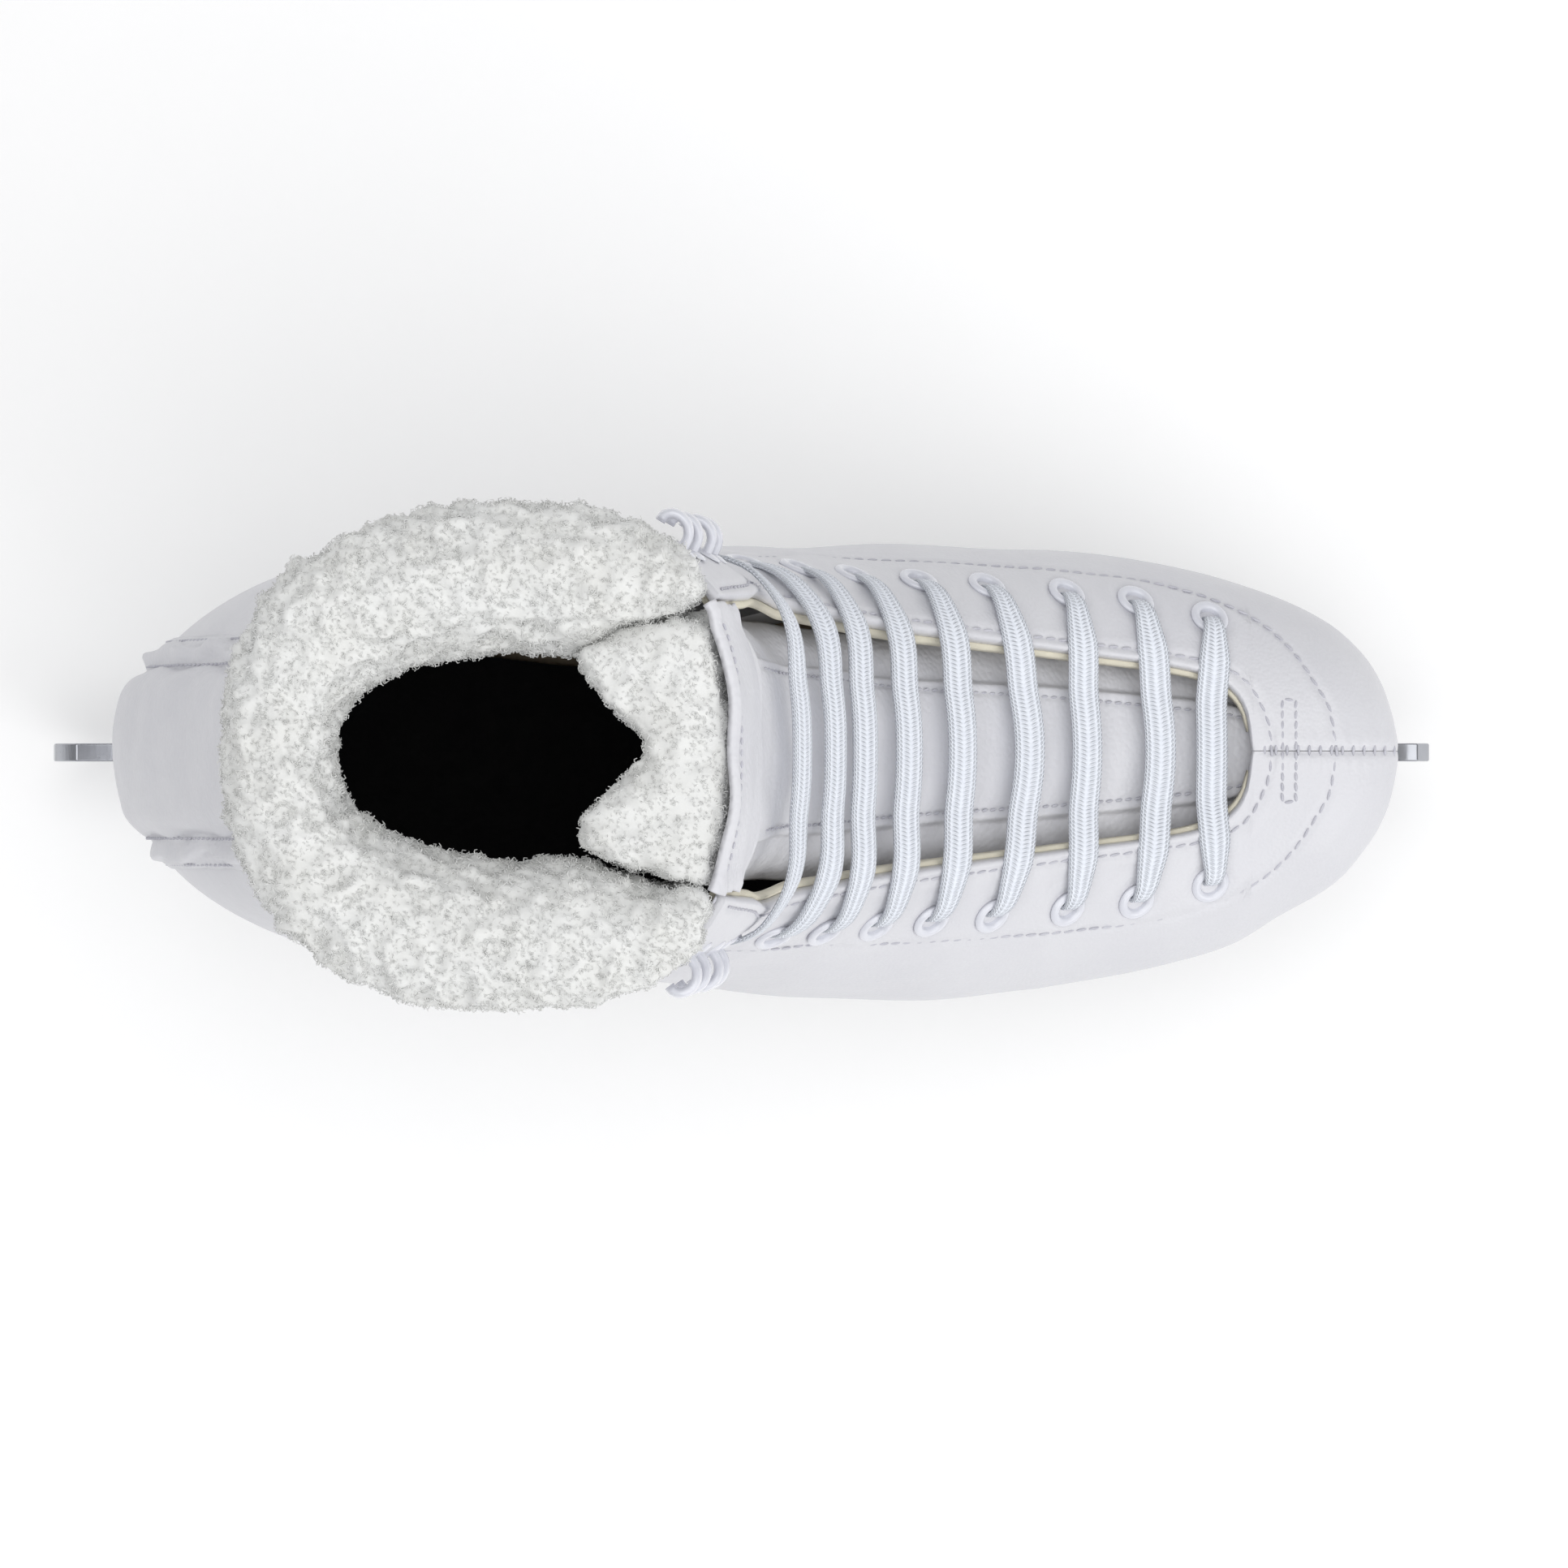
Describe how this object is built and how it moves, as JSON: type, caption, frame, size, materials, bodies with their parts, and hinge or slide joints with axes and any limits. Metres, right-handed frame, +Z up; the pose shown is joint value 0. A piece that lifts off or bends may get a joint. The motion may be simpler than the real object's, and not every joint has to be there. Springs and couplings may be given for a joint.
{
  "type": "figure ice skate",
  "caption": "Laced leather figure skate for the right foot with a fleece-lined ankle boot, flexing padded tongue, heeled sole and a steel blade with a toe pick.",
  "frame": {"origin": "middle of the bottom of the whole skate's box, on the ice", "axes": "+X towards the toe, +Y towards the inner side of the foot, +Z up from the ice"},
  "size_m": [0.308, 0.1013, 0.272],
  "materials": {
    "upper_leather": "fine-grained white leather, satin",
    "facing_lining": "cream suede, cut edge showing",
    "fleece": "curly white fleece pile",
    "dark_lining": "matt black padded cloth",
    "fibreboard": "pressed fibreboard",
    "footbed_foam": "foam under black cloth",
    "sole_leather": "white lacquered sole edge",
    "heel_lift": "matt rubber",
    "blade_steel": "ground and nickel plated",
    "plate_steel": "nickel plated",
    "screw_steel": "zinc plated",
    "white_enamel": "gloss white enamel",
    "lace_cotton": "flat woven lace, matt"
  },
  "bodies": {
    "boot_and_blade": {"inner_upper": "upper_leather", "outer_upper": "upper_leather", "back_border": "upper_leather", "back_pad": "upper_leather", "tongue_lace_panel": "upper_leather", "inner_facing_lining": "facing_lining", "outer_facing_lining": "facing_lining", "fleece_collar": "fleece", "tongue_lower_fleece": "fleece", "inner_lining": "dark_lining", "outer_lining": "dark_lining", "toe_puff": "fibreboard", "heel_counter": "fibreboard", "insole_board": "fibreboard", "footbed": "footbed_foam", "steel_shank": "blade_steel", "outsole": "sole_leather", "forefoot_sole_block": "sole_leather", "heel_block": "sole_leather", "heel_top_lift": "heel_lift", "blade_runner": "blade_steel", "front_stanchion": "blade_steel", "rear_stanchion": "blade_steel", "front_sole_plate": "plate_steel", "heel_plate": "plate_steel", "front_plate_screw_1": "screw_steel", "front_plate_screw_2": "screw_steel", "front_plate_screw_3": "screw_steel", "front_plate_screw_4": "screw_steel", "rear_plate_screw_1": "screw_steel", "rear_plate_screw_2": "screw_steel", "inner_eyelet_1": "white_enamel", "inner_eyelet_2": "white_enamel", "inner_eyelet_3": "white_enamel", "inner_eyelet_4": "white_enamel", "inner_eyelet_5": "white_enamel", "inner_eyelet_6": "white_enamel", "inner_eyelet_7": "white_enamel", "inner_eyelet_8": "white_enamel", "inner_eyelet_9": "white_enamel", "inner_hook_1": "white_enamel", "inner_hook_2": "white_enamel", "inner_hook_3": "white_enamel", "inner_hook_4": "white_enamel", "outer_eyelet_1": "white_enamel", "outer_eyelet_2": "white_enamel", "outer_eyelet_3": "white_enamel", "outer_eyelet_4": "white_enamel", "outer_eyelet_5": "white_enamel", "outer_eyelet_6": "white_enamel", "outer_eyelet_7": "white_enamel", "outer_eyelet_8": "white_enamel", "outer_eyelet_9": "white_enamel", "outer_hook_1": "white_enamel", "outer_hook_2": "white_enamel", "outer_hook_3": "white_enamel", "outer_hook_4": "white_enamel", "lace": "lace_cotton"},
    "tongue_top": {"tongue_top_panel": "upper_leather", "tongue_top_fleece": "fleece"}
  },
  "joints": [
    {"name": "tongue_flex", "type": "hinge", "parent": "boot_and_blade", "child": "tongue_top", "pos_m": [0.00458, 0.0031, 0.21003], "axis": [0, 1, 0], "range_deg": [0, 25], "stiffness_Nm_per_rad": 0.6}
  ]
}
